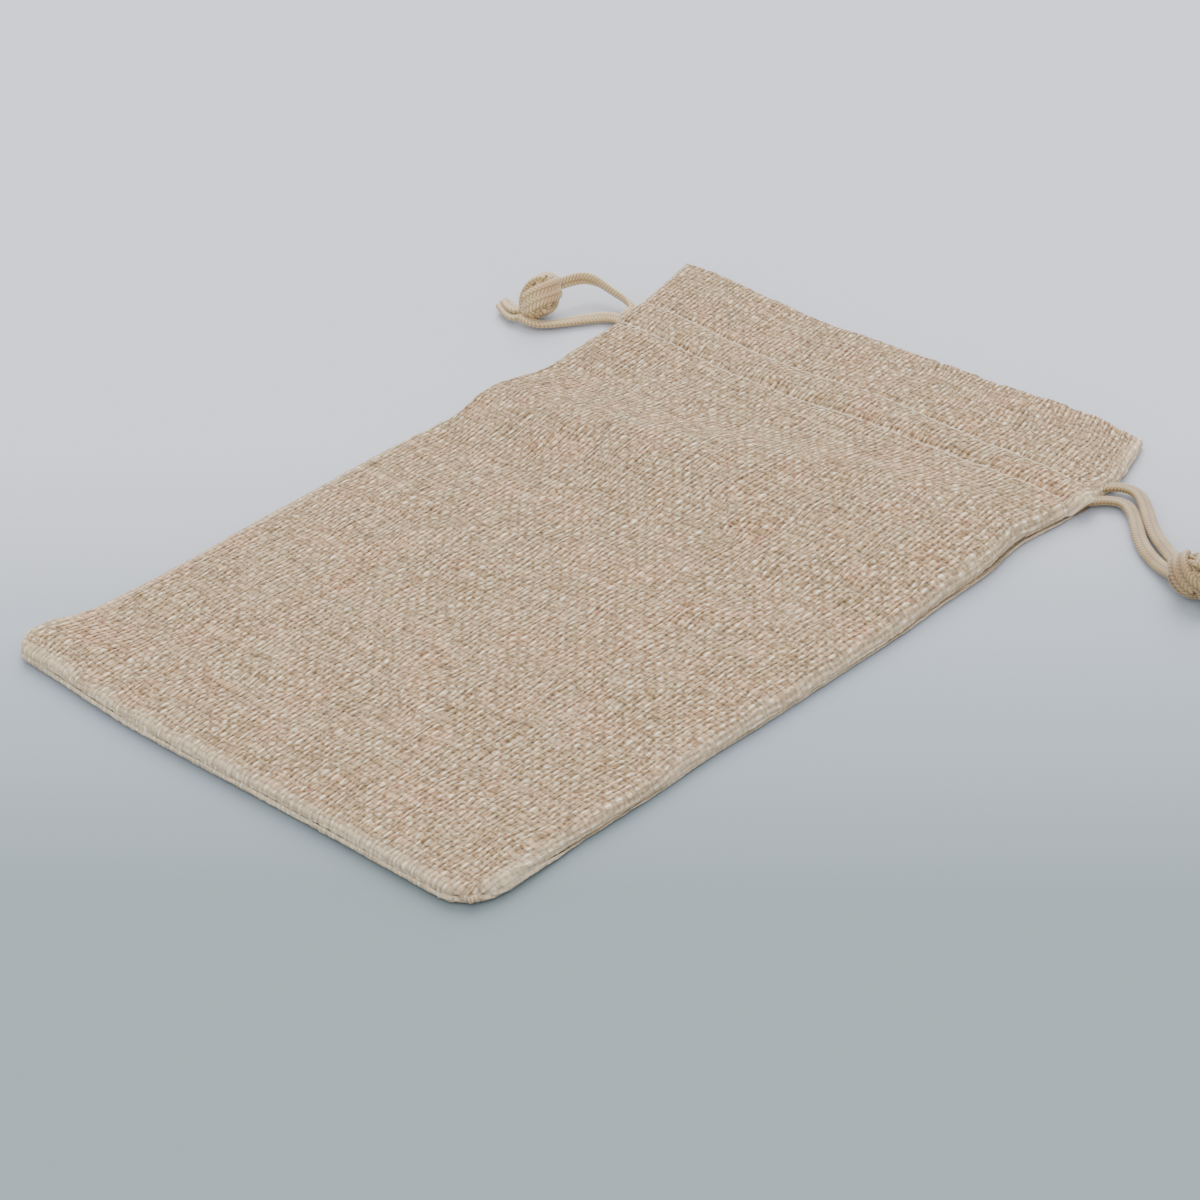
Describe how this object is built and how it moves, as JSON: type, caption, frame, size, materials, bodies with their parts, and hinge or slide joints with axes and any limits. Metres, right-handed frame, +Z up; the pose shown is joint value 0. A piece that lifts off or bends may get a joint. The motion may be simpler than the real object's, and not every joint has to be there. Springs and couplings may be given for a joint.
{
  "type": "drawstring gift pouch",
  "caption": "Flat drawstring gift pouch of coarse natural-look plain-weave cloth, closed bottom, plain header over a sewn cord channel, and a knotted cord loop at each side.",
  "frame": {"origin": "centre of the pouch's footprint on the surface it lies on, cords left out", "axes": "+X across to the right cord, +Y along the pouch to its mouth, +Z up from the back panel to the front panel"},
  "size_m": [0.2059, 0.18, 0.0099],
  "materials": {
    "cloth": "coarse undyed plain weave",
    "thread": "thin cream sewing thread",
    "cord": "smooth golden-tan hollow braid"
  },
  "bodies": {
    "root": {"back_panel": "cloth", "back_hem": "cloth", "left_seam_allowance": "cloth", "right_seam_allowance": "cloth", "bottom_seam_allowance": "cloth", "left_side_stitch": "thread", "right_side_stitch": "thread", "bottom_stitch": "thread", "left_overlock": "thread", "right_overlock": "thread", "bottom_overlock": "thread", "back_channel_stitch_lower": "thread", "back_channel_stitch_upper": "thread", "left_cord_far_bend": "cord", "right_cord_far_bend": "cord"},
    "front_layer": {"front_panel": "cloth", "front_hem": "cloth", "front_channel_stitch_lower": "thread", "front_channel_stitch_upper": "thread"},
    "left_cord": {"left_cord_back_run": "cord", "left_cord_front_strand": "cord", "left_cord_back_strand": "cord", "left_cord_knot": "cord", "left_cord_tails": "cord"},
    "left_cord_front": {"left_cord_front_run": "cord"},
    "right_cord": {"right_cord_back_run": "cord", "right_cord_front_strand": "cord", "right_cord_back_strand": "cord", "right_cord_knot": "cord", "right_cord_tails": "cord"},
    "right_cord_front": {"right_cord_front_run": "cord"}
  },
  "joints": [
    {"name": "mouth_open", "type": "hinge", "parent": "root", "child": "front_layer", "pos_m": [0, -0.09, 0.00265], "axis": [1, 0, 0], "range_deg": [0, 10]},
    {"name": "left_cord_pull", "type": "slide", "parent": "root", "child": "left_cord", "axis": [-1, 0, 0], "range_m": [0, 0.048]},
    {"name": "left_cord_front_run_slide", "type": "slide", "parent": "front_layer", "child": "left_cord_front", "axis": [-1, 0, 0], "range_m": [0, 0.048]},
    {"name": "right_cord_pull", "type": "slide", "parent": "root", "child": "right_cord", "axis": [1, 0, 0], "range_m": [0, 0.048]},
    {"name": "right_cord_front_run_slide", "type": "slide", "parent": "front_layer", "child": "right_cord_front", "axis": [1, 0, 0], "range_m": [0, 0.048]}
  ],
  "couplings": [
    {"joint": "left_cord_front_run_slide", "follows": "left_cord_pull", "ratio": 1},
    {"joint": "right_cord_front_run_slide", "follows": "right_cord_pull", "ratio": 1}
  ]
}
